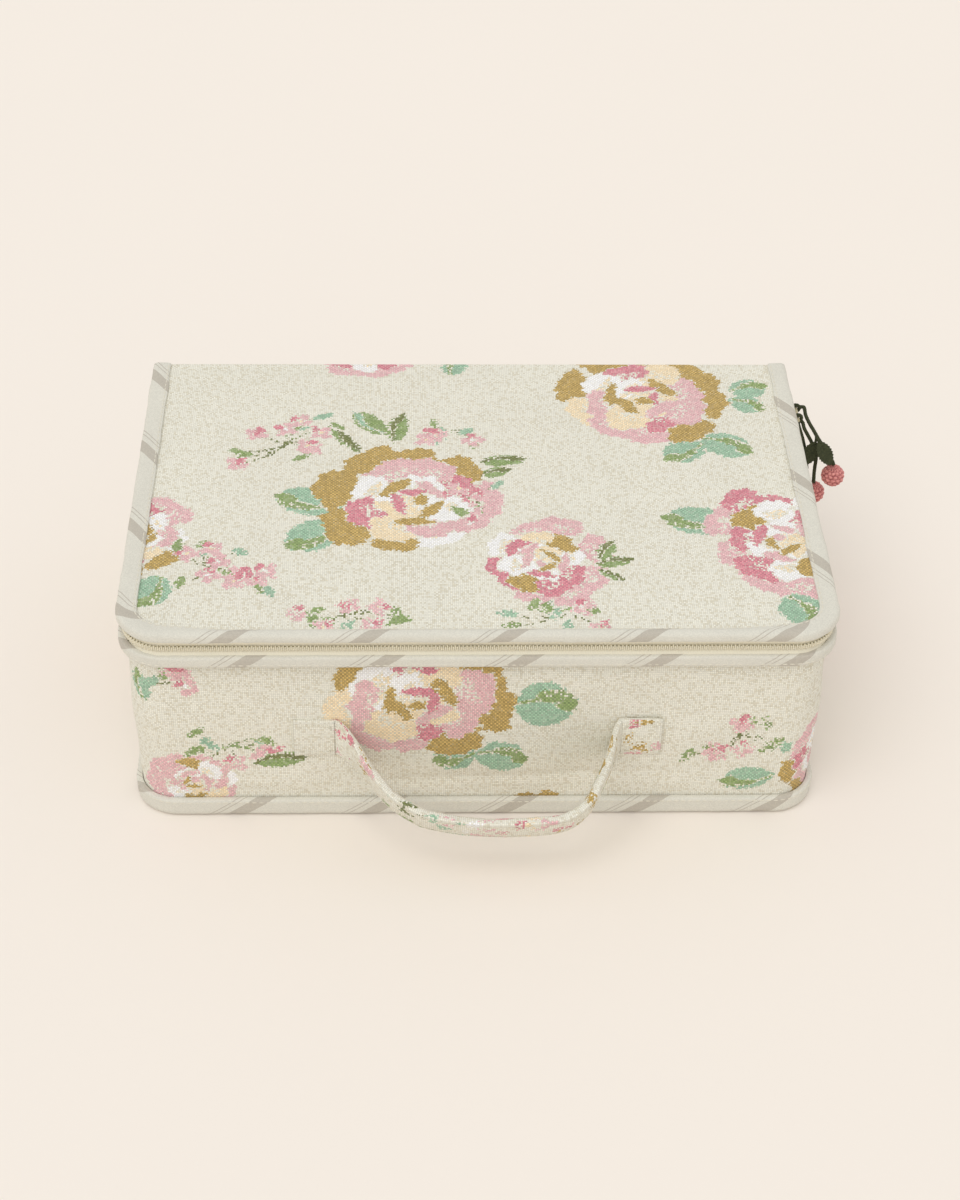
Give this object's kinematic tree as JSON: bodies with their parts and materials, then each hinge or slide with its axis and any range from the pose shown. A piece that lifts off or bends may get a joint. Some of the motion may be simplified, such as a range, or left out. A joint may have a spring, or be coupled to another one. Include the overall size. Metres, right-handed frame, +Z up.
{
  "type": "suitcase",
  "caption": "Small soft suitcase in woven rose cloth with striped bound seams, a lid zipped on the front and sides and hinged on a cloth fold, a strap handle and a cherry charm on the zip.",
  "frame": {"origin": "centre of the flat underside, on the floor", "axes": "+X to the case's right seen from the front, -Y towards the front with the handle, +Z up"},
  "size_m": [0.3258, 0.2389, 0.105],
  "materials": {
    "rose_cloth": "woven cotton, cream ground with roses",
    "striped_binding": "cotton bias tape, cream with grey-brown stripes",
    "lining": "plain cotton",
    "wadding": "polyester wadding",
    "stiffener_board": "grey board",
    "zip_tape": "cream woven tape",
    "zip_teeth": "cream nylon",
    "slider_metal": "cream enamel",
    "charm_cord": "dark green crochet cotton",
    "charm_leaf": "dark green crochet cotton",
    "charm_cherry": "dusty pink crochet cotton"
  },
  "bodies": {
    "base": {"wall_cover": "rose_cloth", "wall_foam": "wadding", "wall_lining": "lining", "back_bottom_cover": "rose_cloth", "back_foam": "wadding", "bottom_board": "stiffener_board", "bottom_lining": "lining", "wall_binding": "striped_binding", "bottom_binding": "striped_binding", "zip_tape_lower": "zip_tape", "zip_teeth_lower": "zip_teeth", "zip_stop_lower": "zip_teeth", "handle_strap": "rose_cloth"},
    "lid": {"lid_cover": "rose_cloth", "lid_wadding": "wadding", "lid_board": "stiffener_board", "lid_lining": "lining", "lid_binding": "striped_binding", "zip_tape_upper": "zip_tape", "zip_teeth_upper": "zip_teeth", "zip_stop_upper": "zip_teeth"},
    "slider": {"slider_body": "slider_metal"},
    "charm": {"charm_knot": "charm_cord", "charm_cord_outer": "charm_cord", "charm_cord_inner": "charm_cord", "charm_cord_side": "charm_cord", "charm_leaf_upper": "charm_leaf", "charm_leaf_lower": "charm_leaf", "charm_cherry_outer": "charm_cherry", "charm_cherry_inner": "charm_cherry"}
  },
  "joints": [
    {"name": "lid_hinge", "type": "hinge", "parent": "base", "child": "lid", "pos_m": [0, 0.1, 0.1036], "axis": [-1, 0, 0], "range_deg": [0, 180]},
    {"name": "slider_slide", "type": "slide", "parent": "base", "child": "slider", "axis": [0, -1, 0], "range_m": [0, 0.14], "deforming": ["zip_teeth_lower", "zip_teeth_upper"]},
    {"name": "charm_swing", "type": "hinge", "parent": "slider", "child": "charm", "pos_m": [0.15255, 0.069, 0.09615], "axis": [0, -1, 0], "range_deg": [-8, 100]}
  ]
}
